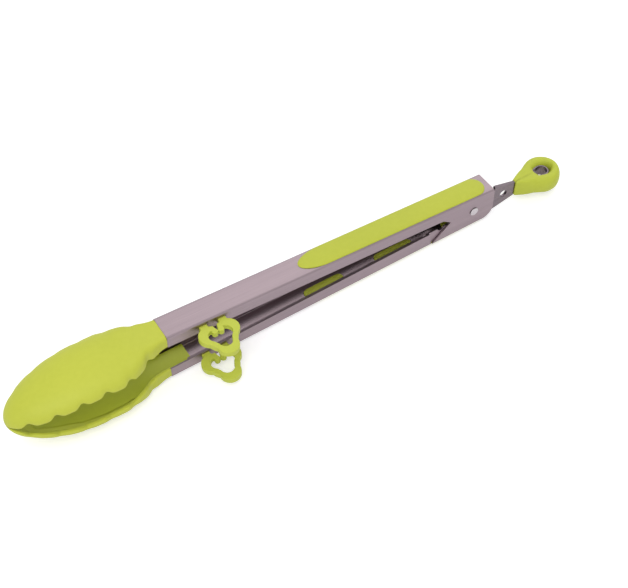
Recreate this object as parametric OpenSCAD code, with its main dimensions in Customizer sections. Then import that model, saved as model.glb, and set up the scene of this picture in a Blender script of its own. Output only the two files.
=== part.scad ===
// Spring loaded kitchen tongs, closed and locked with the ring pulled out.
// The lower arm lies level on its grip and on the belly of its head.
// +X points to the ring, -Y to the foot loops, +Z up; millimetres.
// Each arm is drawn in its own frame: pivot at the origin, head towards -X,
// outside of the web at z = +pivot_to_web. The lower arm is its mirror image.

/* [Arms] */
// Pivot to the seam between arm and head
pivot_to_head = 178; // [150:1:230]
// Pivot to the tail end of the web
tail_length = 12; // [11:0.5:13]
// Width of the channel over its flanges
arm_width = 14; // [12.5:0.1:18]
// Thickness of the steel sheet
sheet = 0.8; // [0.6:0.05:1]
// Pivot axis to the outside of each web
pivot_to_web = 9.6; // [9:0.1:12]
// Depth of the channel, outside of the web to the flange edge
flange_depth = 6.7; // [5.5:0.1:8]
// Extra depth of the lower arm's flange at the pivot end
tail_extra_depth = 2; // [0:0.1:2.5]
// Width of the inward hem along each flange edge
hem_width = 1.6; // [1:0.1:2.2]
// Outside radius of the folds
fold_radius = 1.3; // [1:0.1:2]
// Lean of each closed arm away from the middle plane, in degrees
lean = 1.8; // [1:0.1:2.5]

/* [Pivot] */
// Diameter of the rivet's shank
pin_diameter = 3.6; // [3:0.1:4.4]
// Diameter of the rivet's heads
rivet_head = 4.8; // [4.6:0.1:7]
// Height of each rivet head
rivet_head_height = 0.8; // [0.6:0.1:1.5]
// Radius of the lower arm's inner ears
inner_ear_radius = 8.2; // [7:0.1:8.4]
// Radial clearance of the rivet in what turns on it
pin_clearance = 0.05; // [0.03:0.01:0.1]
// Side clearance between nested ears
ear_clearance = 0.15; // [0.1:0.05:0.3]

/* [Spring] */
// Diameter of the spring wire
wire = 1.4; // [1:0.1:1.6]
// Mean radius of the coil
coil_radius = 3.7; // [3.5:0.1:4.2]
// Whole turns of the coil, before the half turn between its legs
coil_turns = 3; // [2:1:3]
// Pitch of the coil
coil_pitch = 1.5; // [1.45:0.05:1.7]
// Reach of the spring's legs from the pivot, along the middle plane
leg_reach = 31; // [26:0.5:33]
// Wall of the spacer tube inside the coil
spacer_wall = 0.5; // [0.3:0.05:0.6]

/* [Lock strip and ring] */
// Travel of the ring between pushed in and pulled out
ring_travel = 12; // [10:0.5:13]
// Pivot to the outer end of the ring when it is pulled out
ring_reach = 56.5; // [55:0.5:70]
// Pivot to the root of the ring sleeve when it is pulled out
collar_reach = 28; // [27:0.5:30]
// Thickness of the strip's sheet, which lies double inside the tongs
strip_sheet = 0.8; // [0.6:0.05:0.9]
// Half height of the strip between the webs
strip_half_height = 5.1; // [4.6:0.1:5.3]
// Half height of the strip's shoulder behind the tails
shoulder_half_height = 8; // [7:0.1:8.2]
// Half height of the strip at the root of the sleeve
loop_half_height = 4.6; // [4:0.1:5]
// Half height of the strip's loop inside the ring
band_half_height = 3.2; // [2.4:0.1:4]
// Height of the lock slot
slot_height = 4.4; // [4.4:0.1:5]
// Diameter of the round hole behind the slot
strip_hole = 4.4; // [3:0.1:4.8]
// Pivot to the middle of that hole
strip_hole_reach = 20.8; // [20:0.1:22]
// Half width of the ring
ring_half_width = 10; // [8.6:0.1:10.4]
// Half height of the ring sleeve
sleeve_half_height = 5.4; // [5.2:0.1:6.5]
// Half width of the hanging hole, which the strip's loop lines
hole_half_width = 3; // [2.6:0.1:4]
// Thickness of the sleeve on the strip at the ring's root
sleeve_wall = 0.7; // [0.5:0.1:1.2]

/* [Heads] */
// Length of each head
head_length = 79; // [65:1:95]
// Half width of each head
head_half_width = 16.7; // [14:0.1:22]
// Height of the belly over the web
belly = 1.4; // [1.2:0.1:2]
// How far each rim reaches below the flange edge
rim_drop = 1.7; // [0:0.1:1.9]
// Wall of the silicone
head_wall = 2.2; // [1.8:0.1:2.8]
// Depth of the scallops in the rim
scallop_depth = 1.6; // [0.6:0.1:2]
// Distance between two notches of the rim
scallop_pitch = 11.9; // [11:0.1:14]
// Seam to the first notch
first_notch = 11.4; // [10:0.1:14]
// Thickness of the stiff core along the floor
core_thickness = 2.2; // [1.8:0.1:2.6]
// Length of the core's tongue inside the channel
tongue_length = 12; // [8:0.5:20]

/* [Grips] */
// Pivot to the grip's head end
grip_head_end = 103; // [95:1:125]
// Pivot to the grip's tail end
grip_tail_end = 9; // [8:0.1:10.5]
// Width of the grip
grip_width = 12.4; // [11:0.1:13]
// Length of the taper at the grip's head end
grip_nose = 15; // [8:0.5:22]
// Number of keys under the grip
key_count = 3; // [1:1:3]
// Distance between two keys
key_pitch = 42.2; // [38:0.1:44]
// Pivot to the middle of the key next to it
first_key = 3.5; // [2:0.1:4]
// Length of each key
key_length = 23; // [18:0.5:24]
// Width of each key
key_width = 5.6; // [4:0.1:6]
// Height of the keys over the inside of the web
key_proud = 0.6; // [0.3:0.1:0.6]
// Clearance around moulded plugs in the steel
plug_clearance = 0.1; // [0.05:0.05:0.2]

/* [Foot loops] */
// Pivot to the middle of the foot loop
foot_reach = 154.5; // [130:0.5:160]
// Flange to the middle of the foot loop
foot_offset = 9.4; // [9:0.1:12]
// Thickness of the foot loop
foot_thickness = 3; // [2:0.1:3.4]
// Outside of the web to the middle of the foot's thickness
foot_drop = 4.1; // [3.6:0.1:4.3]
// Radius of each lobe
lobe_radius = 5.4; // [4.6:0.1:6]
// Middle of the foot to the middle of each lobe
lobe_offset = 5.7; // [5:0.1:6]
// Radius that fills the notches between the lobes
foot_middle_radius = 7.6; // [6:0.1:8]
// Radius of each lobe of the opening
hole_lobe_radius = 3.5; // [3.2:0.1:3.7]
// Middle of the foot to the middle of each lobe of the opening
hole_lobe_offset = 3; // [2.4:0.1:3.2]
// Radius that fills the notches of the opening
hole_middle_radius = 4.7; // [4:0.1:5]
// Radius of the curled ends of the loop
curl_radius = 1.5; // [1.2:0.1:1.6]
// Middle of the foot to the middle of each curl
curl_height = 3.9; // [3.6:0.1:4.2]
// Width of the two necks through the flange
neck_width = 4; // [3:0.1:5]

/* [Hidden] */
$fn = 64;

STEEL = [0.62, 0.58, 0.60];
LIME = [0.60, 0.68, 0.10];

joint_gap = 0.15;
grip_thickness = belly;
half_width = arm_width / 2;
inner_half = half_width - sheet - ear_clearance;
web_inside = pivot_to_web - sheet;
flange_edge = pivot_to_web - flange_depth;
pin_radius = pin_diameter / 2;

// Where the pivot stands in the part's own frame
tip_reach = pivot_to_head + head_length;
near_reach = half_width + foot_offset + lobe_offset + lobe_radius;
pivot_x = (tip_reach - ring_reach) / 2;
pivot_y = (near_reach - head_half_width) / 2;
pivot_z = pivot_to_web + grip_thickness;

// ---- Placing ----

module in_lower_arm() translate([pivot_x, pivot_y, pivot_z]) mirror([0, 0, 1]) children();
module in_upper_arm() translate([pivot_x, pivot_y, pivot_z]) rotate([0, 2 * lean, 0]) children();
module in_middle() translate([pivot_x, pivot_y, pivot_z]) rotate([0, lean, 0]) children();

// An outline in X and Z, extruded across Y between two places
module across(y0, y1) translate([0, y1, 0]) rotate([90, 0, 0]) linear_extrude(y1 - y0) children();

// The same shape on the far and near sides of the middle
module both_sides() {
    children();
    mirror([0, 1, 0]) children();
}

// A cylinder along Y between two places
module along_y(r, y0, y1) translate([0, y0, 0]) rotate([-90, 0, 0]) cylinder(r = r, h = y1 - y0);

// ---- Arms ----

// Cross-section of a channel in Y and Z, with round folds and open below
module channel_section(half, bottom) {
    inner_fold = fold_radius - sheet;
    difference() {
        union() {
            translate([-half, bottom]) square([2 * half, pivot_to_web - fold_radius - bottom]);
            translate([-half + fold_radius, bottom])
                square([2 * (half - fold_radius), pivot_to_web - bottom]);
            for (side = [-1, 1]) translate([side * (half - fold_radius), pivot_to_web - fold_radius])
                circle(fold_radius);
        }
        translate([-half + sheet, bottom - 1])
            square([2 * (half - sheet), pivot_to_web - fold_radius - bottom + 1]);
        translate([-half + fold_radius, bottom - 1])
            square([2 * (half - fold_radius), web_inside - bottom + 1]);
        for (side = [-1, 1]) translate([side * (half - fold_radius), pivot_to_web - fold_radius])
            circle(inner_fold);
    }
}

module channel(x0, x1, half, bottom) translate([x0, 0, 0]) rotate([90, 0, 90])
    linear_extrude(x1 - x0) channel_section(half, bottom);

// Inward hem along the two flange edges
module hems(x0, x1, z0, z1) both_sides() across(half_width - hem_width, half_width - 0.1)
    polygon([[x0, z0], [x1, z1], [x1, z1 + sheet], [x0, z0 + sheet]]);

module key_slots() for (i = [0 : key_count - 1])
    translate([-first_key - i * key_pitch, 0, 0])
        slot(key_length + 2 * plug_clearance, key_width + 2 * plug_clearance,
            web_inside - 1, pivot_to_web + 1);

// A slot with round ends along X, cut or filled through Z
module slot(length, width, z0, z1) translate([0, 0, z0]) linear_extrude(z1 - z0) {
    square([length - width, width], center = true);
    for (end = [-1, 1]) translate([end * (length - width) / 2, 0]) circle(d = width);
}

module neck_slots() for (side = [-1, 1])
    translate([-foot_reach + side * neck_offset, -half_width, pivot_to_web - foot_drop])
        cube([neck_width + 2 * plug_clearance, 4, foot_thickness + 2 * plug_clearance], center = true);

// Where the hems run, as reaches from the pivot
hem_start = foot_reach + 14;
hem_end = 32;

// Front corner of the outer ears, and the ring that the wide lower flanges keep clear of it
ear_front = [-25.3, -10.8];
ear_sweep = norm(ear_front) + 0.5;
joggle = 1.6;
// Top and bottom of the ears' front edge, and the round corner at their tail
ear_root = -20;
ear_step = [-14.7, -0.5];
ear_bottom = 0.6 - pivot_to_web;
ear_corner_radius = 6.4;
ear_corner = tail_length - 5.6;

module outer_ear_outline() {
    polygon([[-pivot_to_head, pivot_to_web + 1], [-pivot_to_head, flange_edge], [ear_root, flange_edge],
        ear_step, ear_front, [ear_corner, ear_bottom],
        [ear_corner + ear_corner_radius, ear_bottom + ear_corner_radius],
        [tail_length, pivot_to_web + 1]]);
    translate([ear_corner, ear_bottom + ear_corner_radius]) circle(ear_corner_radius);
}

module upper_arm_local() difference() {
    union() {
        intersection() {
            channel(-pivot_to_head, tail_length + 3, half_width, -pivot_to_web - 3);
            across(-half_width - 1, half_width + 1) outer_ear_outline();
        }
        hems(-hem_start, -hem_end, flange_edge, flange_edge);
    }
    key_slots();
    neck_slots();
    along_y(pin_radius + pin_clearance, -half_width - 1, half_width + 1);
}

lower_edge_tail = flange_edge - tail_extra_depth;
function lower_edge(x) = flange_edge
    - tail_extra_depth * (pivot_to_head + x) / (pivot_to_head - hem_end);

module lower_flange_outline() polygon([[-pivot_to_head, pivot_to_web + 1],
    [-pivot_to_head, flange_edge], [-hem_end, lower_edge_tail],
    [tail_length, lower_edge_tail], [tail_length, pivot_to_web + 1]]);

// Round relief in the lower flanges, in front of the ears
relief = [-20.3, 0.5];
relief_radius = 2.3;

module lower_arm_local() difference() {
    union() {
        // Wide channel, cut back where the outer ears swing past
        difference() {
            intersection() {
                channel(-pivot_to_head, -ear_sweep / 2, half_width, flange_edge - tail_extra_depth - 1);
                across(-half_width - 1, half_width + 1) lower_flange_outline();
            }
            along_y(ear_sweep, -half_width - 1, half_width + 1);
        }
        // Joggle between the wide and the narrow flanges
        intersection() {
            both_sides() across(inner_half - sheet, half_width - 0.2) difference() {
                lower_flange_outline();
                circle(ear_sweep);
            }
            translate([-ear_sweep - joggle, -half_width, lower_edge_tail])
                cube([ear_sweep, arm_width, web_inside + 0.2 - lower_edge_tail]);
        }
        // Narrow channel with the inner ears
        intersection() {
            channel(-ear_sweep - joggle, tail_length, inner_half, -inner_ear_radius - 1);
            across(-half_width, half_width) {
                lower_flange_outline();
                circle(inner_ear_radius);
            }
        }
        hems(-hem_start, -hem_end, lower_edge(-hem_start), lower_edge_tail);
    }
    translate([relief[0], 0, relief[1]]) along_y(relief_radius, -half_width - 1, half_width + 1);
    key_slots();
    neck_slots();
    along_y(pin_radius + pin_clearance, -half_width - 1, half_width + 1);
}

module lower_arm() color(STEEL) in_lower_arm() lower_arm_local();
module upper_arm() color(STEEL) in_upper_arm() upper_arm_local();

// ---- Heads: lofts of arched stations from the seam to the tip ----

tip_z = -tip_reach * tan(lean) + joint_gap;
function smooth(t) = let (c = min(1, max(0, t))) c * c * (3 - 2 * c);
widen_length = 28;
full_until = 38;
function along(s, s0) = max(0, (s - s0) / (head_length - s0));
function envelope(s) = half_width + (head_half_width - half_width) * smooth(s / widen_length);
function notch(s) = s < first_notch - scallop_pitch / 2 || s > head_length - 2 ? 0
    : pow(abs(cos(180 * (s - first_notch) / scallop_pitch)), 6);
function outer_half(s) = envelope(s) * pow(max(0, 1 - pow(along(s, full_until), 2.1)), 0.5)
    - 0.7 * scallop_depth * notch(s);
function rim_z(s) = flange_edge - rim_drop * smooth(s / first_notch)
    + (tip_z - flange_edge + rim_drop) * pow(along(s, full_until), 1.7) + scallop_depth * notch(s);
function crown_z(s) = tip_z + (pivot_to_web + belly * smooth(s / 20) - tip_z)
    * pow(max(0, 1 - pow(along(s, 20), 2.1)), 0.5);
function roundness(s) = 2.05 + 5 * (1 - smooth(s / 24));
// The wall is thinner at the seam, where the core ends
seam_relief = 0.7;
function wall(s) = head_wall - seam_relief * (1 - smooth(s / 12));
function inner_half_width(s) = max(0.4 * outer_half(s), outer_half(s) - wall(s));
function inner_crown_z(s) = let (z0 = rim_z(s), z1 = crown_z(s))
    max(z0 + 0.35 * (z1 - z0), z1 - wall(s));
function arch(s, half, z0, z1, n, a) = [-pivot_to_head - s,
    half * sign(cos(a)) * pow(abs(cos(a)), 2 / n), z0 + (z1 - z0) * pow(abs(sin(a)), 2 / n)];

arch_steps = 16;
station_count = 52;
last_station = head_length - 0.4;
function station(i) = last_station * (1 - pow(1 - i / station_count, 1.15));

// One closed ring of points: over the outside from -Y to +Y, then back along the inside
function head_ring(s) = concat(
    [for (j = [0 : arch_steps])
        arch(s, outer_half(s), rim_z(s), crown_z(s), roundness(s), 180 - 180 * j / arch_steps)],
    [for (j = [0 : arch_steps])
        arch(s, inner_half_width(s), rim_z(s), inner_crown_z(s), roundness(s), 180 * j / arch_steps)]);

module loft(rings) {
    n = len(rings[0]);
    m = len(rings);
    points = [for (ring = rings) for (p = ring) p];
    sides = [for (i = [0 : m - 2]) for (j = [0 : n - 1]) let (k = (j + 1) % n)
        each [[i * n + j, (i + 1) * n + k, i * n + k], [i * n + j, (i + 1) * n + j, (i + 1) * n + k]]];
    // The ends are strips between the outside and the inside of the ring
    half = n / 2;
    ends = [for (j = [0 : half - 2]) each [
        [j, j + 1, n - 1 - j], [j + 1, n - 2 - j, n - 1 - j],
        [(m - 1) * n + j, (m - 1) * n + n - 1 - j, (m - 1) * n + j + 1],
        [(m - 1) * n + j + 1, (m - 1) * n + n - 1 - j, (m - 1) * n + n - 2 - j]]];
    polyhedron(points, concat(sides, ends), convexity = 6);
}

module head_local() loft([for (i = [0 : station_count]) head_ring(station(i))]);

core_end = head_length * 0.86;
core_steps = 10;
core_stations = 24;
// The core fills the head's crown down to a flat floor
function floor_z(s) = inner_crown_z(s) - joint_gap
    - core_thickness * (1 - 0.8 * smooth((s - core_end + 40) / 40));
function core_ring(s) = let (
    half = inner_half_width(s) - joint_gap, n = roundness(s),
    z0 = rim_z(s), z1 = inner_crown_z(s) - joint_gap,
    start = asin(pow((floor_z(s) - z0) / (z1 - z0), n / 2)))
    concat([for (j = [0 : core_steps])
            arch(s, half, z0, z1, n, 180 - start - (180 - 2 * start) * j / core_steps)],
        [for (j = [0 : core_steps]) let (edge = arch(s, half, z0, z1, n, start))
            [edge[0], edge[1] * (1 - 2 * j / core_steps), edge[2]]]);

module head_core_local() {
    loft([for (i = [-1 : core_stations]) core_ring(core_end * i / core_stations)]);
    // Tongue inside the channel
    tongue_half = half_width - sheet - 0.6;
    translate([-pivot_to_head, -tongue_half, floor_z(0)])
        cube([tongue_length, 2 * tongue_half, web_inside - 0.1 - floor_z(0)]);
}

module lower_head() color(LIME) in_lower_arm() head_local();
module upper_head() color(LIME) in_upper_arm() head_local();
module lower_head_core() color(LIME) in_lower_arm() head_core_local();
module upper_head_core() color(LIME) in_upper_arm() head_core_local();

// ---- Grips ----

function grip_outline(half) = concat(
    [for (a = [-90 : 10 : 90]) [grip_tail_end - half + half * cos(a), half * sin(a)]],
    [for (a = [90 : 7.5 : 270]) [-grip_head_end + grip_nose + grip_nose * cos(a), half * sin(a)]]);

module grip_local() {
    edge = 0.5;
    translate([0, 0, pivot_to_web]) linear_extrude(grip_thickness - edge)
        polygon(grip_outline(grip_width / 2));
    translate([0, 0, pivot_to_web + grip_thickness - edge]) linear_extrude(edge)
        polygon(grip_outline(grip_width / 2 - edge));
    for (i = [0 : key_count - 1]) translate([-first_key - i * key_pitch, 0, 0])
        slot(key_length, key_width, web_inside - key_proud, pivot_to_web + 0.1);
}

module lower_grip() color(LIME) in_lower_arm() grip_local();
module upper_grip() color(LIME) in_upper_arm() grip_local();

// ---- Foot loops ----

neck_offset = lobe_offset * cos(30);

barb_depth = 1.6;
barb_overhang = 0.8;
lobe_angles = [30, 150, 270];

slit_half = 0.15;
slit_mouth = 2;

module foot_flat() {
    difference() {
        union() {
            difference() {
                union() {
                    circle(foot_middle_radius);
                    for (a = lobe_angles) rotate(a) translate([lobe_offset, 0]) circle(lobe_radius);
                    for (side = [-1, 1]) translate([side * neck_offset - neck_width / 2, 0])
                        square([neck_width, foot_offset + sheet + barb_depth]);
                }
                circle(hole_middle_radius);
                for (a = lobe_angles) rotate(a) translate([hole_lobe_offset, 0]) circle(hole_lobe_radius);
            }
            for (side = [-1, 1]) translate([side * (slit_half + curl_radius), curl_height])
                circle(curl_radius);
        }
        // Slit between the curled ends, open towards the arm
        polygon([[-slit_half, 0], [slit_half, 0], [slit_half, curl_height],
            [slit_mouth, foot_offset + 1], [-slit_mouth, foot_offset + 1], [-slit_half, curl_height]]);
    }
    // Barbs inside the flange
    for (side = [-1, 1])
        translate([side * neck_offset - neck_width / 2 - barb_overhang, foot_offset + sheet + joint_gap])
            square([neck_width + 2 * barb_overhang, barb_depth - joint_gap]);
}

module foot_local()
    translate([-foot_reach, -half_width - foot_offset, pivot_to_web - foot_drop - foot_thickness / 2])
        linear_extrude(foot_thickness) foot_flat();

module lower_foot() color(LIME) in_lower_arm() foot_local();
module upper_foot() color(LIME) in_upper_arm() foot_local();

// ---- Rivet and spacer ----

head_inside = half_width + 0.1;
head_bevel = 0.8;

module pivot_pin() color(STEEL) in_middle() {
    along_y(pin_radius, -head_inside - 0.1, head_inside + 0.1);
    for (side = [-1, 1]) scale([1, side, 1]) translate([0, head_inside, 0]) rotate([-90, 0, 0]) {
        cylinder(r = rivet_head / 2, h = rivet_head_height / 2);
        translate([0, 0, rivet_head_height / 2])
            cylinder(r1 = rivet_head / 2, r2 = rivet_head / 2 - head_bevel, h = rivet_head_height / 2);
    }
}

// The strip lies against the near inner ear, the spring fills the rest of the width
ear_inside = inner_half - sheet;
strip_near = -ear_inside + 0.25;
strip_far = strip_near + 2 * strip_sheet;
strip_middle = strip_near + strip_sheet;

module rivet_spacer() color(STEEL) in_middle() difference() {
    along_y(pin_radius + pin_clearance + spacer_wall, strip_far + 0.2, ear_inside - 0.15);
    along_y(pin_radius + pin_clearance, strip_far - 1, ear_inside + 1);
}

// ---- Torsion spring ----

web_at_leg = web_inside / cos(lean) + leg_reach * tan(lean);
leg_angle = atan((web_at_leg - wire / 2 - joint_gap - coil_radius) / leg_reach);
leg_length = leg_reach / cos(leg_angle);
wire_radius = wire / 2;
coil_degrees = 180 - 2 * leg_angle + 360 * coil_turns;
coil_start = (strip_far + ear_inside) / 2 - coil_pitch * coil_degrees / 720;
coil_steps = 24 * (coil_turns + 0.5);
function coil_point(a) =
    [coil_radius * sin(a), coil_start + coil_pitch * (a - leg_angle) / 360, coil_radius * cos(a)];
spring_route = concat(
    [coil_point(leg_angle) + leg_length * [-cos(leg_angle), 0, sin(leg_angle)]],
    [for (i = [0 : coil_steps]) coil_point(leg_angle + coil_degrees * i / coil_steps)],
    [coil_point(leg_angle + coil_degrees) + leg_length * [-cos(leg_angle), 0, -sin(leg_angle)]]);

// Round wire along a route whose bends all turn about Y
module wire_along(route, radius, sides = 10) {
    last = len(route) - 1;
    rings = [for (i = [0 : last]) let (
        tangent = route[min(i + 1, last)] - route[max(i - 1, 0)],
        out = [tangent[2], 0, -tangent[0]] / norm([tangent[2], 0, -tangent[0]]))
        [for (j = [0 : sides - 1]) let (a = 360 * (j + 0.5) / sides)
            route[i] + radius * (cos(a) * out + [0, sin(a), 0])]];
    points = [for (ring = rings) for (p = ring) p];
    polyhedron(points, concat(
        [for (i = [0 : last - 1]) for (j = [0 : sides - 1]) let (k = (j + 1) % sides)
            each [[i * sides + j, i * sides + k, (i + 1) * sides + k],
                [i * sides + j, (i + 1) * sides + k, (i + 1) * sides + j]]],
        [[for (j = [sides - 1 : -1 : 0]) j], [for (j = [0 : sides - 1]) last * sides + j]]), convexity = 8);
}

module torsion_spring() color(STEEL) in_middle() wire_along(spring_route, wire_radius);

// ---- Lock strip and ring sleeve ----

shoulder_reach = norm([tail_length, web_inside]) * 0.96;
slot_length = ring_travel + 0.3;
strip_inner_end = -slot_height / 2 - 3.5;
ring_middle = ring_reach - ring_half_width;

// Teardrop outlines in X and Y: a round end and two straight sides back to a start
loop_outer = hole_half_width + strip_sheet;
loop_start = collar_reach + 3;
side_lean = asin(hole_half_width / (ring_middle - loop_start));
function side_start(r, half) = ring_middle - (r - half * cos(side_lean)) / sin(side_lean);

module teardrop(r, start, start_half, slant) {
    translate([ring_middle, strip_middle]) circle(r);
    x1 = ring_middle - r * sin(slant);
    translate([0, strip_middle]) polygon([[start, -start_half], [x1, -r * cos(slant)],
        [x1, r * cos(slant)], [start, start_half]]);
}

// Two teardrops whose sides lean alike bound the loop's sheet
module loop_outline(gap) {
    difference() {
        teardrop(loop_outer + gap, side_start(loop_outer + gap, strip_sheet), strip_sheet, side_lean);
        teardrop(hole_half_width - gap, side_start(hole_half_width - gap, 0.01), 0.01, side_lean);
    }
    translate([collar_reach - 1, strip_near - gap])
        square([loop_start - collar_reach + 2, 2 * (strip_sheet + gap)]);
}

module pull_strip() color(STEEL) in_middle() {
    // Double plate with the lock slot
    difference() {
        across(strip_near, strip_far) polygon([[strip_inner_end, -strip_half_height],
            [shoulder_reach, -strip_half_height], [shoulder_reach, -shoulder_half_height],
            [collar_reach, -loop_half_height], [collar_reach, loop_half_height],
            [shoulder_reach, shoulder_half_height], [shoulder_reach, strip_half_height],
            [strip_inner_end, strip_half_height]]);
        across(strip_near - 1, strip_far + 1) {
            translate([0, -slot_height / 2]) square([slot_length, slot_height]);
            for (x = [0, slot_length]) translate([x, 0]) circle(d = slot_height);
            translate([strip_hole_reach, 0]) circle(d = strip_hole);
        }
    }
    translate([0, 0, -band_half_height]) linear_extrude(2 * band_half_height) loop_outline(0);
}

module sleeve_outline(inset) {
    half = strip_sheet + sleeve_wall - inset;
    r = ring_half_width - inset;
    reach = ring_middle - collar_reach;
    teardrop(r, collar_reach, half, asin(r / norm([reach, half])) - atan(half / reach));
}

module ring_sleeve() color(LIME) in_middle() difference() {
    for (inset = [0, 1.2]) let (half_height = sleeve_half_height - 1.2 + inset)
        translate([0, 0, -half_height]) linear_extrude(2 * half_height) sleeve_outline(inset);
    // Pocket that the loop fills, and the hanging hole
    translate([0, 0, -band_half_height - 0.05])
        linear_extrude(2 * band_half_height + 0.1) loop_outline(0.05);
    translate([0, 0, -sleeve_half_height - 1]) linear_extrude(2 * sleeve_half_height + 2)
        teardrop(hole_half_width, side_start(hole_half_width, 0.8), 0.8, side_lean);
}

lower_arm();
lower_head();
lower_head_core();
lower_grip();
lower_foot();
upper_arm();
upper_head();
upper_head_core();
upper_grip();
upper_foot();
pivot_pin();
rivet_spacer();
torsion_spring();
pull_strip();
ring_sleeve();
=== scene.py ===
"""Spring loaded kitchen tongs with silicone spoon heads, lying closed and locked.

Lengths are millimetres in an arm's own frame, unless a comment says metres:
pivot at the origin, heads towards -X, outside of the web at +Z. The placing
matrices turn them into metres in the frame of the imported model.
"""
import math

import bmesh
import bpy
from mathutils import Matrix, Vector

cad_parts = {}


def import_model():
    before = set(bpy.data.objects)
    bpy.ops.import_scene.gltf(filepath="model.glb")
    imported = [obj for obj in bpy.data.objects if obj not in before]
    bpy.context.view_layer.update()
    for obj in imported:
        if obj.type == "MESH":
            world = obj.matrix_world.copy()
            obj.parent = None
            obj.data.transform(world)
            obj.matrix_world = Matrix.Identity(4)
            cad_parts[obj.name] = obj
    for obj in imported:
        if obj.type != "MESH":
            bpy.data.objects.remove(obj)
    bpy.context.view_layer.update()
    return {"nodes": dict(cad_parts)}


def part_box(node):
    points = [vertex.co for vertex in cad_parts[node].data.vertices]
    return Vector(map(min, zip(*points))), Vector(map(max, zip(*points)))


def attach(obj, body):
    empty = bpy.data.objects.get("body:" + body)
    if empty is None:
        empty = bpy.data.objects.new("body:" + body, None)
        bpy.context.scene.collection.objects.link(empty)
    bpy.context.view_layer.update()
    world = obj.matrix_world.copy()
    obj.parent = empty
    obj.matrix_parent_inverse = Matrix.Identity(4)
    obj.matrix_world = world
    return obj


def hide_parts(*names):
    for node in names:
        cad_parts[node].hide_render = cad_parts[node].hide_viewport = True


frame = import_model()

MM = 0.001
LEAN = math.radians(1.8)  # of each closed arm from the middle plane
MERGE = 2e-6  # metres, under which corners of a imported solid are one

# Sizes of the steelwork
SEAM = 178.0
HALF_WIDTH = 7.0
WEB = 9.6
WEB_INSIDE = 8.8
FLANGE_EDGE = 2.9

# Sizes of the heads
HEAD_LENGTH = 79.0
HEAD_HALF = 16.7
BELLY = 1.4
RIM_DROP = 1.7
HEAD_WALL = 2.2
SCALLOP_DEPTH = 1.6
SCALLOP_PITCH = 11.9
FIRST_NOTCH = 11.4
SCALLOP_SHARPNESS = 6
SCALLOP_SIDE_SHARE = 0.7
FULL_UNTIL = 38.0
WIDENS_OVER = 28.0
CROWN_UNTIL = 20.0
SQUARE_UNTIL = 24.0
THIN_UNTIL = 12.0
SEAM_THINNER = 0.7
TIP_POWER = 2.1
RIM_POWER = 1.7
ROUND_POWER = 2.05
SQUARE_EXTRA = 5
SEAM_EASE = 0.16
SEAM_EASE_STEP = 0.05
TIP_GAP = 0.15
TIP_Z = -(SEAM + HEAD_LENGTH) * math.tan(LEAN) + TIP_GAP
ARCH_STEPS = 44
RIM_STEPS = 5
BODY_END = 76.0
BODY_STATIONS = 170
NOSE_REACH = 2.985
NOSE_STATIONS = 26

# Sizes of the grips and their keys
GRIP_HEAD_END = 103.0
GRIP_TAIL_END = 9.0
GRIP_HALF = 6.1
GRIP_NOSE = 15.0
KEY_PITCH = 42.2
FIRST_KEY = 3.5
KEY_LENGTH = 23.0
KEY_HALF = 2.8
KEY_COUNT = 3
KEY_DEPTH = 0.6
KEY_ROOT = 0.5
KEY_EASE = 0.35
GRIP_FOOT = 0.12
GRIP_STEPS = 16
GRIP_LANES = 24
GRIP_CROWN = 2.3

# Sizes of the ring, its collar and the hanging hole
STRIP_MIDDLE = -4.2
RING_HALF = 10.0
RING_MIDDLE = 56.5 - RING_HALF
COLLAR = 28.0
COLLAR_HALF = 1.5
RING_HEIGHT = 5.4
OPENING_LONG = 5.4
OPENING_HALF = 3.3
OPENING_SHIFT = 0.3
COLLAR_LOWER = 0.25
COLLAR_BLEND = 9.0
SLEEVE_POWER = 2.3
COLLAR_EXTRA = 6
SLEEVE_SIDES = 28

# Sizes of the rivet and the spring
PIN_RADIUS = 1.8
RIVET_RADIUS = 2.4
RIVET_RISE = 0.8
RIVET_EDGE = 0.25
DOME_STEPS = 12
WIRE_RADIUS = 0.7
COIL_RADIUS = 3.7
COIL_TURNS = 3
COIL_PITCH = 1.5
COIL_MIDDLE = (-3.4 + 5.25) / 2
LEG_REACH = 31.0
LEG_GAP = 0.15

# The camera's bearing, height and roll in degrees, its target and its distance
BEARING, HEIGHT, ROLL = -32.92, 50.5, 0.66
TARGET = (-99.65, -9.6, -0.38)
DISTANCE = 585.3
LENS = 68.79

# Light: floor's and world's strengths, and each lamp's place, width (metres) and power
FLOOR_HALF = 3.0  # metres
FLOOR_LEVEL = -0.0001  # metres
FLOOR_GLOW = 0.45
WORLD_STRENGTH = 0.62
LAMPS = {"key_lamp": ((-0.5, -0.5, 1.1), 0.9, 6.2),
         "fill_lamp": ((0.7, 0.6, 1.0), 1.2, 3.4)}

pin_low, pin_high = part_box("pivot_pin")
PIVOT = (pin_low + pin_high) / 2


def placing(angle, flip=1):
    """Matrix from an arm's millimetres to the model's metres, turned about the pivot."""
    return (Matrix.Translation(PIVOT) @ Matrix.Rotation(angle, 4, "Y")
            @ Matrix.Diagonal((MM, MM, flip * MM, 1)))


LOWER = placing(0, -1)
UPPER = placing(2 * LEAN)
MIDDLE = placing(LEAN)


# ---- Shader building ----

class Wire:
    """A socket whose sums, differences and products add Math nodes."""

    def __init__(self, finish, socket):
        self.finish, self.socket = finish, socket

    def _math(self, operation, first, second):
        return self.finish.node("ShaderNodeMath", {"operation": operation}, {0: first, 1: second})

    def __add__(self, other):
        return self._math("ADD", self, other)

    __radd__ = __add__

    def __mul__(self, other):
        return self._math("MULTIPLY", self, other)

    __rmul__ = __mul__

    def __sub__(self, other):
        return self._math("SUBTRACT", self, other)

    def __rsub__(self, other):
        return self._math("SUBTRACT", other, self)


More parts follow.
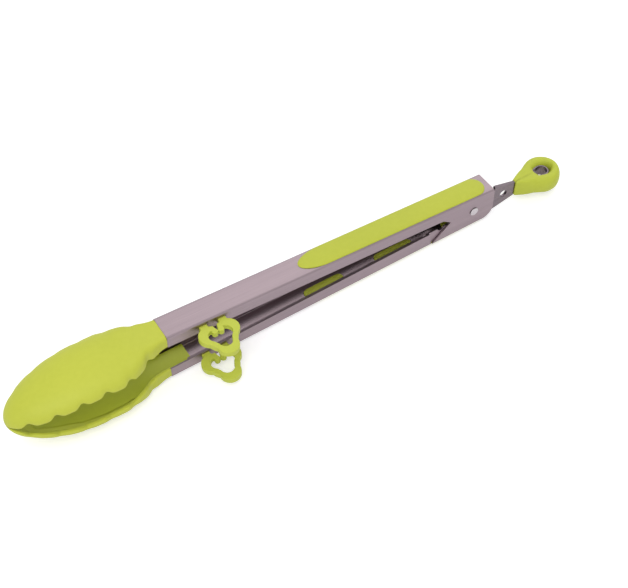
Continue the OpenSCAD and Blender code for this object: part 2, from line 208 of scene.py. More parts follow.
class Finish:
    """A node material. Every node comes from node(): settings first, then values or links."""

    def __init__(self, name):
        self.material = bpy.data.materials.new(name)
        self.material.use_nodes = True
        self.tree = self.material.node_tree
        self.tree.nodes.clear()

    def node(self, kind, settings=None, inputs=None, output=0):
        made = self.tree.nodes.new(kind)
        for key, value in (settings or {}).items():
            if key == "stops":
                for index, (place, shade) in enumerate(value):
                    stops = made.color_ramp.elements
                    stop = stops[index] if index < len(stops) else stops.new(place)
                    stop.position = place
                    stop.color = (*shade, 1) if hasattr(shade, "__len__") else (shade,) * 3 + (1,)
            else:
                setattr(made, key, value)
        for key, value in (inputs or {}).items():
            if isinstance(value, Wire):
                self.tree.links.new(value.socket, made.inputs[key])
            else:
                made.inputs[key].default_value = value
        return Wire(self, made.outputs[output])

    def place(self, scale=(1, 1, 1), turn=0.0):
        """Object coordinates, turned about Y and then stretched."""
        spot = self.node("ShaderNodeTexCoord", output="Object")
        turned = self.node("ShaderNodeMapping", {"vector_type": "POINT"},
                           {"Vector": spot, "Rotation": (0, turn, 0)})
        return self.node("ShaderNodeMapping", {"vector_type": "POINT"},
                         {"Vector": turned, "Scale": scale})

    def noise(self, place, scale, detail=2.0, roughness=0.5):
        return self.node("ShaderNodeTexNoise", {}, {"Vector": place, "Scale": scale,
                         "Detail": detail, "Roughness": roughness}, "Fac")

    def mix(self, share, first, second):
        return self.node("ShaderNodeMix", {"data_type": "RGBA"},
                         {0: share, 6: first, 7: second}, 2)

    def bump(self, height, strength, distance, under=None):
        inputs = {"Height": height, "Strength": strength, "Distance": distance}
        if under is not None:
            inputs["Normal"] = under
        return self.node("ShaderNodeBump", {}, inputs)

    def surface(self, **inputs):
        """Ends the material in a Principled surface with these socket values."""
        named = {key.replace("_", " ").title(): value for key, value in inputs.items()}
        named = {"IOR" if key == "Ior" else key: value for key, value in named.items()}
        shader = self.node("ShaderNodeBsdfPrincipled", {}, named)
        return self.output(shader)

    def output(self, shader):
        end = self.tree.nodes.new("ShaderNodeOutputMaterial")
        self.tree.links.new(shader.socket, end.inputs["Surface"])
        return self.material


def colour(red, green, blue):
    return (red, green, blue, 1)


def brushed_steel(name, pale, dark, turn=0.0, shine=0.36):
    """Satin sheet steel, brushed lengthwise, with faint smudges and rolled streaks."""
    finish = Finish(name)
    grain = finish.noise(finish.place((40, 3200, 3200), turn), 1.0, 3, 0.6)
    streak = finish.noise(finish.place((9, 420, 420), turn), 1.0, 2, 0.5)
    smudge = finish.noise(finish.place((1, 1, 1), turn), 38.0, 3, 0.55)
    shade = finish.node("ShaderNodeMapRange", {}, {"Value": 0.45 * grain + 0.3 * streak
                        + 0.25 * smudge, "From Min": 0.3, "From Max": 0.7})
    return finish.surface(
        base_color=finish.mix(shade, dark, pale), metallic=1.0,
        roughness=shine + 0.16 * (grain - 0.5) + 0.14 * (smudge - 0.5),
        normal=finish.bump(grain, 0.25, 0.00002, finish.bump(smudge, 0.12, 0.0004)))


def silicone(name, body, deep, grain=0.3, rough=0.52):
    """Matte moulded silicone: fine spark-eroded grain and slow colour drift."""
    finish = Finish(name)
    spot = finish.place()
    fine = finish.noise(spot, 2600.0, 2, 0.6)
    mould = finish.noise(spot, 420.0, 3, 0.5)
    drift = finish.noise(spot, 22.0, 3, 0.55)
    shade = finish.node("ShaderNodeMapRange", {}, {"Value": 0.65 * drift + 0.35 * mould,
                        "From Min": 0.32, "From Max": 0.68})
    return finish.surface(
        base_color=finish.mix(shade, deep, body),
        roughness=rough + 0.14 * (fine - 0.5) + 0.18 * (drift - 0.5), ior=1.42,
        normal=finish.bump(fine, grain, 0.00004, finish.bump(mould, 0.2, 0.00008)))


def drawn_wire(name):
    """Spring wire: dark drawn steel with fine die lines and oil-dark patches."""
    finish = Finish(name)
    spot = finish.place()
    lines = finish.noise(spot, 3000.0, 2)
    patch = finish.noise(spot, 160.0, 2)
    return finish.surface(
        base_color=finish.mix(patch, colour(0.24, 0.22, 0.23), colour(0.46, 0.43, 0.44)),
        metallic=1.0, roughness=0.24 + 0.16 * lines + 0.1 * patch,
        normal=finish.bump(lines, 0.2, 0.00002))


def turned_steel(name, pale, dark, centre):
    """Bright rivet steel with faint rings about the pivot axis."""
    finish = Finish(name)
    spot = finish.node("ShaderNodeTexCoord", output="Object")
    local = finish.node("ShaderNodeVectorMath", {"operation": "SUBTRACT"},
                        {0: spot, 1: centre})
    flat = finish.node("ShaderNodeVectorMath", {"operation": "MULTIPLY"},
                       {0: local, 1: (1, 0, 1)})
    reach = finish.node("ShaderNodeVectorMath", {"operation": "LENGTH"}, {0: flat}, "Value")
    rings = finish.node("ShaderNodeMath", {"operation": "SINE"}, {0: reach * 16000.0})
    pits = finish.noise(spot, 900.0, 3)
    return finish.surface(
        base_color=finish.mix(pits, dark, pale), metallic=1.0,
        roughness=0.22 + 0.03 * rings + 0.14 * pits,
        normal=finish.bump(0.5 * rings + pits, 0.15, 0.00002))


# ---- Mesh building ----

def linked(name, mesh):
    piece = bpy.data.objects.new(name, mesh)
    bpy.context.scene.collection.objects.link(piece)
    return piece


def meshed(name, points, faces, place):
    """A mesh from millimetre points, put in place, with its faces turned outwards."""
    mesh = bpy.data.meshes.new(name)
    mesh.from_pydata([place @ Vector(point) for point in points], [], faces)
    form = bmesh.new()
    form.from_mesh(mesh)
    bmesh.ops.remove_doubles(form, verts=form.verts, dist=1e-6)
    bmesh.ops.dissolve_degenerate(form, edges=form.edges, dist=1e-7)
    bmesh.ops.recalc_face_normals(form, faces=form.faces)
    form.to_mesh(mesh)
    form.free()
    return mesh


def settled(piece):
    """The piece with its modifiers turned into plain mesh."""
    bpy.context.view_layer.update()
    evaluated = piece.evaluated_get(bpy.context.evaluated_depsgraph_get())
    mesh = bpy.data.meshes.new_from_object(evaluated)
    piece.modifiers.clear()
    piece.data = mesh
    return piece


def smoothed(piece, angle=40):
    piece.data.shade_smooth()
    piece.data.set_sharp_from_angle(angle=math.radians(angle))
    return piece


def given(piece, body, material, slot, *nodes):
    """Gives a finished piece its material and body, and hides the CAD nodes that it stands for;
    slot is not used.
    """
    piece.data.materials.clear()
    piece.data.materials.append(material)
    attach(piece, body)
    if nodes:
        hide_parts(*nodes)
    return piece


def packed_copy(name, node, flatten=False):
    """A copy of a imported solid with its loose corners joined, and if asked its flats made one."""
    form = bmesh.new()
    form.from_mesh(frame["nodes"][node].data)
    bmesh.ops.remove_doubles(form, verts=form.verts, dist=MERGE)
    if flatten:
        bmesh.ops.dissolve_limit(form, angle_limit=math.radians(0.5), verts=form.verts,
                                 edges=form.edges)
    mesh = bpy.data.meshes.new(name)
    form.to_mesh(mesh)
    form.free()
    return linked(name, mesh)


def eased(name, node, width, segments=2):
    """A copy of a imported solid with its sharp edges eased, flat faces kept flat."""
    piece = packed_copy(name, node, flatten=True)
    for attribute in [a for a in piece.data.attributes if a.name == "custom_normal"]:
        piece.data.attributes.remove(attribute)
    ease = piece.modifiers.new("ease", "BEVEL")
    ease.limit_method, ease.angle_limit = "ANGLE", math.radians(35)
    ease.width, ease.segments = width * MM, segments
    settled(piece)
    smoothed(piece, 42)
    piece.modifiers.new("even", "WEIGHTED_NORMAL").keep_sharp = True
    return settled(piece)


def node_tree(name, **kinds):
    """A geometry node tree with these named inputs, and its input sockets by name."""
    tree = bpy.data.node_groups.new(name, "GeometryNodeTree")
    tree.interface.new_socket("Geometry", in_out="INPUT", socket_type="NodeSocketGeometry")
    sockets = {label: tree.interface.new_socket(label, in_out="INPUT",
                                                socket_type=f"NodeSocket{kind}")
               for label, kind in kinds.items()}
    tree.interface.new_socket("Geometry", in_out="OUTPUT", socket_type="NodeSocketGeometry")
    return tree, sockets


def grown(name, tree, sockets, **values):
    """A new object whose plain mesh a node tree makes from these input values."""
    piece = linked(name, bpy.data.meshes.new(name))
    layout = piece.modifiers.new(name, "NODES")
    layout.node_group = tree
    for label, value in values.items():
        layout[sockets[label].identifier] = value
    return settled(piece)


def loft(rings, closed_ends=True):
    """Points and faces through rings of equal length, with a face on each end if asked."""
    count = len(rings[0])
    points = [point for ring in rings for point in ring]
    faces = []
    for i in range(len(rings) - 1):
        for j in range(count):
            k = (j + 1) % count
            faces.append((i * count + j, i * count + k, (i + 1) * count + k, (i + 1) * count + j))
    if closed_ends:
        faces.append(tuple(range(count)))
        faces.append(tuple((len(rings) - 1) * count + j for j in range(count)))
    return points, faces


# ---- Heads ----
# Every s is a distance from the seam with the channel towards the tip

def smooth(share):
    share = min(1.0, max(0.0, share))
    return share * share * (3 - 2 * share)


def along(s, start):
    return max(0.0, (s - start) / (HEAD_LENGTH - start))


def notch(s):
    if s < FIRST_NOTCH - SCALLOP_PITCH / 2 or s > HEAD_LENGTH - 2:
        return 0.0
    return abs(math.cos(math.pi * (s - FIRST_NOTCH) / SCALLOP_PITCH)) ** SCALLOP_SHARPNESS


def outer_half(s):
    widening = HALF_WIDTH + (HEAD_HALF - HALF_WIDTH) * smooth(s / WIDENS_OVER)
    closing = math.sqrt(max(0.0, 1 - along(s, FULL_UNTIL) ** TIP_POWER))
    return widening * closing - SCALLOP_SIDE_SHARE * SCALLOP_DEPTH * notch(s)


def rim_z(s):
    return (FLANGE_EDGE - RIM_DROP * smooth(s / FIRST_NOTCH) + SCALLOP_DEPTH * notch(s)
            + (TIP_Z - FLANGE_EDGE + RIM_DROP) * along(s, FULL_UNTIL) ** RIM_POWER)


def crown_z(s):
    closing = math.sqrt(max(0.0, 1 - along(s, CROWN_UNTIL) ** TIP_POWER))
    return TIP_Z + (WEB + BELLY * smooth(s / CROWN_UNTIL) - TIP_Z) * closing


def roundness(s):
    return ROUND_POWER + SQUARE_EXTRA * (1 - smooth(s / SQUARE_UNTIL))


def wall(s):
    return HEAD_WALL - SEAM_THINNER * (1 - smooth(s / THIN_UNTIL))


def arch(half, low, high, power, angle):
    """A point of an arch: the rims at 0 and pi, the crown at half pi."""
    across, up = math.cos(angle), abs(math.sin(angle))
    return (half * math.copysign(abs(across) ** (2 / power), across),
            low + (high - low) * up ** (2 / power))


def head_ring(s, inset=0.0):
    """Outside arch, rounded far rim, inside arch and rounded near rim of one station."""
    half = outer_half(s) - inset
    low, high, power = rim_z(s), crown_z(s) - inset, roundness(s)
    inner = max(0.4 * half, half - wall(s))
    inner_high = max(low + 0.35 * (high - low), high - wall(s))
    ease = min(0.8, 0.45 * (half - inner), 0.4 * (inner_high - low))
    ring = [arch(half, low + ease, high, power, math.pi - math.pi * i / ARCH_STEPS)
            for i in range(ARCH_STEPS + 1)]
    for i in range(1, RIM_STEPS + 1):
        angle = math.pi / 2 * i / RIM_STEPS
        ring.append((half - ease + ease * math.cos(angle), low + ease - ease * math.sin(angle)))
    for i in range(RIM_STEPS + 1):
        angle = math.pi / 2 * i / RIM_STEPS
        ring.append((inner + ease - ease * math.sin(angle), low + ease - ease * math.cos(angle)))
    ring += [arch(inner, low + ease, inner_high, power, math.pi * i / ARCH_STEPS)
             for i in range(1, ARCH_STEPS + 1)]
    for i in range(1, RIM_STEPS + 1):
        angle = math.pi / 2 * i / RIM_STEPS
        ring.append((-inner - ease + ease * math.cos(angle), low + ease - ease * math.sin(angle)))
    for i in range(RIM_STEPS):
        angle = math.pi / 2 * i / RIM_STEPS
        ring.append((-half + ease - ease * math.sin(angle), low + ease - ease * math.cos(angle)))
    return [(-SEAM - s, across, up) for across, up in ring]


def head(name, place):
    """A scalloped silicone spoon: an arched shell with a round rim."""
    stations = [BODY_END * i / BODY_STATIONS for i in range(BODY_STATIONS + 1)]
    stations += [BODY_END + NOSE_REACH * (1 - (1 - i / NOSE_STATIONS) ** 2.2)
                 for i in range(1, NOSE_STATIONS + 1)]
    rings = [head_ring(0.0, SEAM_EASE), head_ring(SEAM_EASE_STEP, SEAM_EASE_STEP)]
    rings += [head_ring(s) for s in [SEAM_EASE] + stations[1:]]
    count = len(rings[0])
    points, faces = loft(rings, closed_ends=False)
    faces += seam_strip(count)
    last = (len(rings) - 1) * count
    faces.append(tuple(last + j for j in range(count)))
    return smoothed(linked(name, meshed(name, points, faces, place)), 60)


def seam_strip(count):
    """Faces across the seam end, from the outside of the first ring to its inside."""
    arch_points, turn_points = ARCH_STEPS + 1, 2 * RIM_STEPS + 1
    # This is one past the last inner point, and leaves a small triangular hole at that rim
    last_inner = arch_points + turn_points + arch_points - 1
    faces = [(j, j + 1, last_inner - 1 - j, last_inner - j) for j in range(arch_points - 1)]
    faces.append((*range(arch_points - 1, arch_points + turn_points),))
    faces.append((0, *range(count - 1, last_inner - 1, -1)))
    return faces


# ---- Grips ----

def grip_ring(share, height):
    """The grip's outline drawn in towards its middle line by a share of its half width."""
    left = 1 - share
    tail = GRIP_TAIL_END - GRIP_HALF
    nose = -GRIP_HEAD_END + GRIP_NOSE
    ring = [(tail + GRIP_HALF * left * math.cos(a), GRIP_HALF * left * math.sin(a), height)
            for a in [math.radians(-90 + 6 * i) for i in range(31)]]
    ring += [(tail + (nose - tail) * i / GRIP_LANES, GRIP_HALF * left, height)
             for i in range(1, GRIP_LANES)]
    ring += [(nose + GRIP_NOSE * left * math.cos(a), GRIP_HALF * left * math.sin(a), height)
             for a in [math.radians(90 + 5 * i) for i in range(37)]]
    ring += [(nose + (tail - nose) * i / GRIP_LANES, -GRIP_HALF * left, height)
             for i in range(1, GRIP_LANES)]
    return ring


def grip(name, place):
    """A long domed silicone pad on the web."""
    rings = [grip_ring(0.02, WEB), grip_ring(0, WEB + GRIP_FOOT)]
    for i in range(1, GRIP_STEPS + 1):
        share = (i / GRIP_STEPS) ** 1.6
        rise = (1 - (1 - share) ** GRIP_CROWN) ** (1 / GRIP_CROWN)
        rings.append(grip_ring(share, WEB + GRIP_FOOT + (BELLY - GRIP_FOOT) * rise))
    count = len(rings[0])
    points, faces = loft(rings, closed_ends=False)
    faces.append(tuple(range(count)))
    pad = linked(name, meshed(name, points, faces, place))
    return smoothed(pad, 50)


def key(name):
    """One moulded key with a rounded end, at the origin: it reaches down to the inside."""
    low, high = WEB_INSIDE - KEY_DEPTH, WEB + KEY_ROOT
    rings = []
    for inset, height in ((KEY_EASE, low), (0.1, low + 0.1), (0, low + KEY_EASE), (0, high)):
        half, middle = KEY_HALF - inset, KEY_LENGTH / 2 - KEY_HALF
        rings.append([(end * middle + half * math.cos(a), half * math.sin(a), height)
                      for end, first in ((1, -90), (-1, 90))
                      for a in [math.radians(first + 15 * i) for i in range(13)]])
    points, faces = loft(rings)
    return linked(name, meshed(name, points, faces, Matrix.Identity(4)))


def key_row(name, place, material):
    """The grip's keys, set out in a row by a node tree and made one plain mesh."""
    pattern = key("key_pattern")
    tree, sockets = node_tree("key_row", Key="Object", Count="Int", Pitch="Float",
                              First="Float")
    new, link = tree.nodes.new, tree.links.new
    entry, end = new("NodeGroupInput"), new("NodeGroupOutput")
    shape, line = new("GeometryNodeObjectInfo"), new("GeometryNodeMeshLine")
    start, step = new("ShaderNodeCombineXYZ"), new("ShaderNodeCombineXYZ")
    setting, whole = new("GeometryNodeInstanceOnPoints"), new("GeometryNodeRealizeInstances")
    paint = new("GeometryNodeSetMaterial")
    paint.inputs["Material"].default_value = material
    link(entry.outputs["Key"], shape.inputs["Object"])
    link(entry.outputs["Count"], line.inputs["Count"])
    link(entry.outputs["First"], start.inputs["X"])
    link(entry.outputs["Pitch"], step.inputs["X"])
    link(start.outputs[0], line.inputs["Start Location"])
    link(step.outputs[0], line.inputs["Offset"])
    link(line.outputs["Mesh"], setting.inputs["Points"])
    link(shape.outputs["Geometry"], setting.inputs["Instance"])
    link(setting.outputs["Instances"], whole.inputs["Geometry"])
    link(whole.outputs["Geometry"], paint.inputs["Geometry"])
    link(paint.outputs["Geometry"], end.inputs["Geometry"])
    row = grown(name, tree, sockets, Key=pattern, Count=KEY_COUNT, Pitch=-KEY_PITCH,
                First=-FIRST_KEY)
    bpy.data.objects.remove(pattern)
    row.data.transform(place)
    if place.determinant() < 0:
        row.data.flip_normals()
    return smoothed(row, 40)


# ---- Moulded loops ----

def softened(name, node, voxel, rounds):
    """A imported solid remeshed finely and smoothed, as a moulded part with round edges."""
    piece = packed_copy(name, node)
    grid = piece.modifiers.new("grid", "REMESH")
    grid.mode, grid.voxel_size = "VOXEL", voxel * MM
    ease = piece.modifiers.new("ease", "SMOOTH")
    ease.factor, ease.iterations = 0.5, rounds
    settled(piece)
    return smoothed(piece, 180)


def teardrop(radius, start, start_half, slant, steps=60, side_steps=14):
    """Outline from the start's far corner round the ring's end and back, middle on y = 0."""
    tangent = (RING_MIDDLE - radius * math.sin(slant), radius * math.cos(slant))
    far = [(start + (tangent[0] - start) * i / side_steps,
            start_half + (tangent[1] - start_half) * i / side_steps) for i in range(side_steps)]
    sweep = math.pi / 2 + slant
    bow = [(RING_MIDDLE + radius * math.cos(sweep - 2 * sweep * i / steps),
            radius * math.sin(sweep - 2 * sweep * i / steps)) for i in range(steps + 1)]
    near = [(x, -y) for x, y in reversed(far)]
    # These two points are in the wrong order, and fold the collar's flat face over itself
    face = [(start, start_half * (1 - i / 3)) for i in (4, 5)]
    return far + bow + near + face


def hit(outline, toward):
    """Where the ray from the ring's middle crosses an outline."""
    best = 0.0
    origin = Vector((RING_MIDDLE, 0))
    for first, second in zip(outline, outline[1:] + outline[:1]):
        a, b = Vector(first) - origin, Vector(second) - origin
        edge = b - a
        cross = toward.x * edge.y - toward.y * edge.x
        if abs(cross) < 1e-9:
            continue
        reach = (a.x * edge.y - a.y * edge.x) / cross
        share = (a.x * toward.y - a.y * toward.x) / cross
        if -1e-6 <= share <= 1 + 1e-6 and reach > best:
            best = reach
    return origin + toward * best


def ring_sleeve(name):
    """The soft sleeve on the strip's loop: a tall round tube that ends in a flat collar."""
    reach = RING_MIDDLE - COLLAR
    slant = (math.asin(RING_HALF / math.hypot(reach, COLLAR_HALF))
             - math.atan(COLLAR_HALF / reach))
    outside = teardrop(RING_HALF, COLLAR, COLLAR_HALF, slant)
    inside = [(RING_MIDDLE + OPENING_SHIFT + OPENING_LONG * math.cos(a),
               OPENING_HALF * math.sin(a)) for a in [math.radians(4 * i) for i in range(90)]]
    rings = []
    for x, y in outside:
        toward = Vector((x - RING_MIDDLE, y)).normalized()
        outer, inner = Vector((x, y)), hit(inside, toward)
        middle, half = (outer + inner) / 2, (outer - inner).length / 2
        boxy = smooth((RING_MIDDLE - RING_HALF + 1 - x) / COLLAR_BLEND)
        power = SLEEVE_POWER + COLLAR_EXTRA * boxy
        height = RING_HEIGHT - COLLAR_LOWER * boxy
        ring = []
        for j in range(SLEEVE_SIDES):
            angle = 2 * math.pi * j / SLEEVE_SIDES
            c, s = math.cos(angle), math.sin(angle)
            out = half * math.copysign(abs(c) ** (2 / power), c)
            up = height * math.copysign(abs(s) ** (2 / power), s)
            spot = middle + toward * out
            ring.append((spot.x, STRIP_MIDDLE + spot.y, up))
        rings.append(ring)
    rings.append(rings[0])
    points, faces = loft(rings, closed_ends=False)
    return smoothed(linked(name, meshed(name, points, faces, MIDDLE)), 50)


# ---- Rivet and spring ----

def lathe(name, profile, place, steps=72):
    """A profile of (reach along Y, radius) turned about the pivot axis."""
    rings = [[(r * math.cos(2 * math.pi * j / steps), y, r * math.sin(2 * math.pi * j / steps))
              for j in range(steps)] for y, r in profile]
    points, faces = loft(rings)
    return smoothed(linked(name, meshed(name, points, faces, place)), 45)


def rivet(name):
    """Shank with two low domed heads, each with a small rolled edge."""
    inside = HALF_WIDTH + 0.1
    dome = [(inside, PIN_RADIUS), (inside, RIVET_RADIUS - 0.15), (inside + 0.1, RIVET_RADIUS),
            (inside + RIVET_EDGE, RIVET_RADIUS)]
    for i in range(1, DOME_STEPS + 1):
        angle = math.pi / 2 * i / DOME_STEPS
        dome.append((inside + RIVET_EDGE + (RIVET_RISE - RIVET_EDGE) * math.sin(angle),
                     RIVET_RADIUS * math.cos(angle) if i < DOME_STEPS else 0.02))
    profile = [(-y, r) for y, r in reversed(dome)] + dome
    return lathe(name, profile, MIDDLE)


def spring_coil(name, degrees, first_angle, material):
    """The coil, swept along a spiral by a node tree and made one plain mesh."""
    tree, sockets = node_tree("coil", Turns="Float", Radius="Float", Rise="Float",
                              Wire="Float")
    new, link = tree.nodes.new, tree.links.new
    entry, end = new("NodeGroupInput"), new("NodeGroupOutput")
    spiral, around = new("GeometryNodeCurveSpiral"), new("GeometryNodeCurvePrimitiveCircle")
    sweep, whole = new("GeometryNodeCurveToMesh"), new("GeometryNodeRealizeInstances")
    paint = new("GeometryNodeSetMaterial")
    spiral.inputs["Resolution"].default_value = 56
    around.inputs["Resolution"].default_value = 16
    sweep.inputs["Fill Caps"].default_value = True
    paint.inputs["Material"].default_value = material
    link(entry.outputs["Turns"], spiral.inputs["Rotations"])
    link(entry.outputs["Radius"], spiral.inputs["Start Radius"])
    link(entry.outputs["Radius"], spiral.inputs["End Radius"])
    link(entry.outputs["Rise"], spiral.inputs["Height"])
    link(entry.outputs["Wire"], around.inputs["Radius"])
    link(spiral.outputs["Curve"], sweep.inputs["Curve"])
    link(around.outputs["Curve"], sweep.inputs["Profile Curve"])
    link(sweep.outputs["Mesh"], whole.inputs["Geometry"])
    link(whole.outputs["Geometry"], paint.inputs["Geometry"])
    link(paint.outputs["Geometry"], end.inputs["Geometry"])
    rise = COIL_PITCH * degrees / 360
    coil = grown(name, tree, sockets, Turns=degrees / 360, Radius=COIL_RADIUS, Rise=rise,
                 Wire=WIRE_RADIUS)
    start = Vector((math.sin(first_angle), 0, math.cos(first_angle)))
    onward = Vector((math.cos(first_angle), 0, -math.sin(first_angle)))
    turn = Matrix((start, onward, (0, 1, 0))).transposed().to_4x4()
    coil.data.transform(MIDDLE @ Matrix.Translation((0, COIL_MIDDLE - rise / 2, 0)) @ turn)
    return smoothed(coil, 60)


def tube(name, route, radius, place, sides=16):
    """Round wire along a route that turns about Y only, with rounded ends."""
    first, last = Vector(route[0]), Vector(route[-1])
    start, end = (Vector(route[1]) - first).normalized(), (last - Vector(route[-2])).normalized()
    stops = [(first + start * radius * (0.3 - 0.3 * math.sin(a)), radius * math.cos(a), start)
             for a in (math.radians(84), math.radians(55), math.radians(25))]
    spots = [Vector(point) for point in route]
    for i in range(1, len(spots) - 1):
        stops.append((spots[i], radius, (spots[i + 1] - spots[i - 1]).normalized()))
    stops += [(last - end * radius * (0.3 - 0.3 * math.sin(a)), radius * math.cos(a), end)
              for a in (math.radians(25), math.radians(55), math.radians(84))]
    rings = []
    for spot, reach, heading in stops:
        out = Vector((heading.z, 0, -heading.x)).normalized()
        rings.append([spot + reach * (math.cos(2 * math.pi * j / sides) * out
                                      + math.sin(2 * math.pi * j / sides) * Vector((0, 1, 0)))
                      for j in range(sides)])
    points, faces = loft(rings)
    return smoothed(linked(name, meshed(name, points, faces, place)), 60)


# ---- Camera, floor and light ----

def camera():
    """The camera, set by its bearing, height and roll round a target on the tongs."""
    bearing, height, roll = (math.radians(angle) for angle in (BEARING, HEIGHT, ROLL))
    back = Vector((math.sin(bearing) * math.cos(height), -math.cos(bearing) * math.cos(height),
                   math.sin(height)))
    right = Vector((math.cos(bearing), math.sin(bearing), 0))
    up = back.cross(right)
    right, up = (math.cos(roll) * right + math.sin(roll) * up,
                 math.cos(roll) * up - math.sin(roll) * right)
    target = Vector(TARGET)
    lean = Matrix.Rotation(LEAN, 3, "Y")
    data = bpy.data.cameras.new("camera")
    data.sensor_width = 36
    data.lens = LENS
    data.clip_start, data.clip_end = 0.01, 20
    eye = bpy.data.objects.new("camera", data)
    bpy.context.scene.collection.objects.link(eye)
    turn = Matrix((lean @ right, lean @ up, lean @ back)).transposed()
    eye.matrix_world = (Matrix.Translation(PIVOT + lean @ ((target + back * DISTANCE) * MM))
                        @ turn.to_4x4())
    bpy.context.scene.camera = eye


def seen_directly(finish):
    """1 for camera, glossy and transmission rays, 0 for the rest."""
    path = {label: finish.node("ShaderNodeLightPath", output=label)
            for label in ("Is Camera Ray", "Is Glossy Ray", "Is Transmission Ray")}
    total = (path["Is Camera Ray"] + path["Is Glossy Ray"]) + path["Is Transmission Ray"]
    return finish.node("ShaderNodeMath", {"operation": "MINIMUM"}, {0: total, 1: 1.0})


def floor():
    """A wide pale floor. Its own glow, seen directly or mirrored, lifts it to white."""
    mesh = bpy.data.meshes.new("floor")
    corners = ((-1, -1), (1, -1), (1, 1), (-1, 1))
    mesh.from_pydata([(x * FLOOR_HALF, y * FLOOR_HALF, FLOOR_LEVEL) for x, y in corners],
                     [], [(0, 1, 2, 3)])
    ground = linked("floor", mesh)
    finish = Finish("pale_floor")
    matte = finish.node("ShaderNodeBsdfDiffuse", {}, {"Color": colour(0.84, 0.83, 0.84)})
    glow = finish.node("ShaderNodeEmission", {}, {"Color": colour(1, 1, 1),
                       "Strength": FLOOR_GLOW * seen_directly(finish)})
    both = finish.node("ShaderNodeAddShader", {}, {0: matte, 1: glow})
    mesh.materials.append(finish.output(both))


def world():
    """Soft even light, white where it is seen directly or mirrored."""
    sky = bpy.data.worlds.new("studio")
    bpy.context.scene.world = sky
    sky.use_nodes = True
    tree = sky.node_tree
    tree.nodes.clear()
    new, link = tree.nodes.new, tree.links.new
    path, total, seen = new("ShaderNodeLightPath"), new("ShaderNodeMath"), new("ShaderNodeMath")
    plain, white = new("ShaderNodeBackground"), new("ShaderNodeBackground")
    pick, end = new("ShaderNodeMixShader"), new("ShaderNodeOutputWorld")
    seen.operation = "MAXIMUM"
    link(path.outputs["Is Camera Ray"], total.inputs[0])
    link(path.outputs["Is Glossy Ray"], total.inputs[1])
    link(total.outputs[0], seen.inputs[0])
    link(path.outputs["Is Transmission Ray"], seen.inputs[1])
    plain.inputs["Color"].default_value = colour(0.97, 0.97, 1.0)
    plain.inputs["Strength"].default_value = WORLD_STRENGTH
    white.inputs["Color"].default_value = colour(1, 1, 1)
    link(seen.outputs[0], pick.inputs[0])
    link(plain.outputs[0], pick.inputs[1])
    link(white.outputs[0], pick.inputs[2])
    link(pick.outputs[0], end.inputs["Surface"])


def lamp(name, place, size, power):
    """A square soft lamp that faces the tongs."""
    data = bpy.data.lights.new(name, "AREA")
    data.size = size
    data.energy = power
    light = bpy.data.objects.new(name, data)
    bpy.context.scene.collection.objects.link(light)
    light.location = place
    light.rotation_euler = (-Vector(place)).to_track_quat("-Z", "Y").to_euler()


# ---- The tongs ----

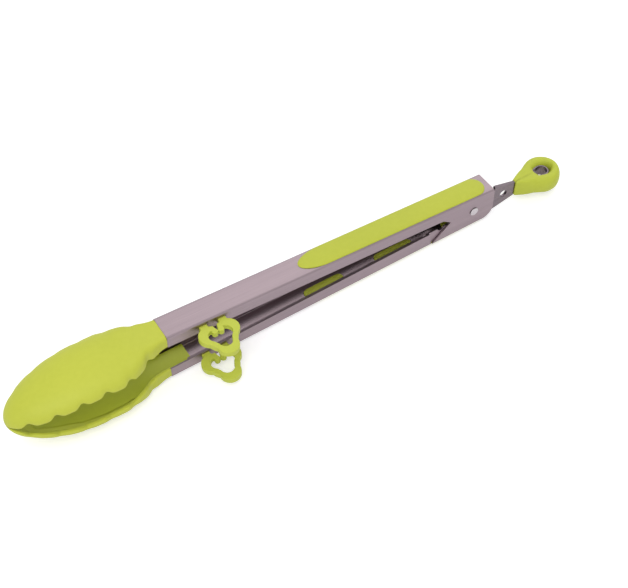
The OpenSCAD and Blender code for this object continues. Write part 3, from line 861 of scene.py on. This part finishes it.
def build():
    head_lime = silicone("head_silicone", colour(0.58, 0.62, 0.062), colour(0.53, 0.575, 0.052))
    grip_lime = silicone("grip_silicone", colour(0.54, 0.585, 0.055), colour(0.49, 0.54, 0.045))
    foot_lime = silicone("foot_silicone", colour(0.58, 0.64, 0.075), colour(0.53, 0.59, 0.060))
    ring_lime = silicone("ring_silicone", colour(0.54, 0.60, 0.055), colour(0.49, 0.55, 0.045))
    core_lime = silicone("head_core_plastic", colour(0.46, 0.51, 0.040),
                         colour(0.42, 0.47, 0.034), 0.15, 0.42)
    pale, dark = colour(0.345, 0.275, 0.298), colour(0.255, 0.202, 0.222)
    lower_steel = brushed_steel("lower_arm_steel", pale, dark)
    upper_steel = brushed_steel("upper_arm_steel", pale, dark, -2 * LEAN)
    # Painted shade: the pull strip is the arms' brushed steel painted darker, for the shade it lies
    # in inside the channel.
    strip_steel = brushed_steel("strip_steel", colour(0.22, 0.18, 0.20),
                                colour(0.15, 0.12, 0.135), -LEAN, 0.3)
    rivet_steel = turned_steel("rivet_steel", colour(0.62, 0.59, 0.60),
                               colour(0.40, 0.37, 0.38), PIVOT)
    wire_steel = drawn_wire("spring_wire")

    for side, place, steel in (("lower", LOWER, lower_steel), ("upper", UPPER, upper_steel)):
        body = f"{side}_arm"
        given(eased(f"{side}_channel", f"{side}_arm", 0.14), body, steel, "channel_steel",
              f"{side}_arm")
        given(head(f"{side}_spoon", place), body, head_lime, "head_silicone", f"{side}_head")
        given(eased(f"{side}_core", f"{side}_head_core", 0.1), body, core_lime, "head_core",
              f"{side}_head_core")
        given(grip(f"{side}_grip_pad", place), body, grip_lime, "grip_silicone",
              f"{side}_grip")
        given(key_row(f"{side}_grip_keys", place, grip_lime), body, grip_lime, "grip_silicone")
        given(softened(f"{side}_foot_loop", f"{side}_foot", 0.2, 6), body, foot_lime,
              "foot_silicone", f"{side}_foot")

    given(rivet("rivet"), "pivot", rivet_steel, "rivet_steel", "pivot_pin")
    given(eased("spacer", "rivet_spacer", 0.08), "pivot", rivet_steel, "rivet_steel",
          "rivet_spacer")
    given(eased("lock_strip", "pull_strip", 0.12), "puller", strip_steel, "strip_steel",
          "pull_strip")
    given(ring_sleeve("pull_ring"), "puller", ring_lime, "ring_silicone", "ring_sleeve")

    web_at_leg = WEB_INSIDE / math.cos(LEAN) + LEG_REACH * math.tan(LEAN)
    leg_angle = math.atan((web_at_leg - WIRE_RADIUS - LEG_GAP - COIL_RADIUS) / LEG_REACH)
    degrees = 180 - 2 * math.degrees(leg_angle) + 360 * COIL_TURNS
    given(spring_coil("spring_coil", degrees, leg_angle, wire_steel), "pivot", wire_steel,
          "spring_steel", "torsion_spring")
    length = LEG_REACH / math.cos(leg_angle)
    half_rise = COIL_PITCH * degrees / 720
    for side, up in (("upper", 1), ("lower", -1)):
        y = COIL_MIDDLE - up * half_rise
        wrap = [(COIL_RADIUS * math.sin(leg_angle + a), y,
                 up * COIL_RADIUS * math.cos(leg_angle + a))
                for a in [math.radians(d) for d in range(30, -1, -5)]]
        foot = (wrap[-1][0] - length * math.cos(leg_angle), y,
                wrap[-1][2] + up * length * math.sin(leg_angle))
        mid = tuple((a + b) / 2 for a, b in zip(wrap[-1], foot))
        given(tube(f"{side}_spring_leg", wrap + [mid, foot], WIRE_RADIUS, MIDDLE),
              f"{side}_arm", wire_steel, "spring_steel")


bpy.context.scene.view_settings.view_transform = "Standard"
camera()
floor()
world()
for name, (place, size, power) in LAMPS.items():
    lamp(name, place, size, power)
build()
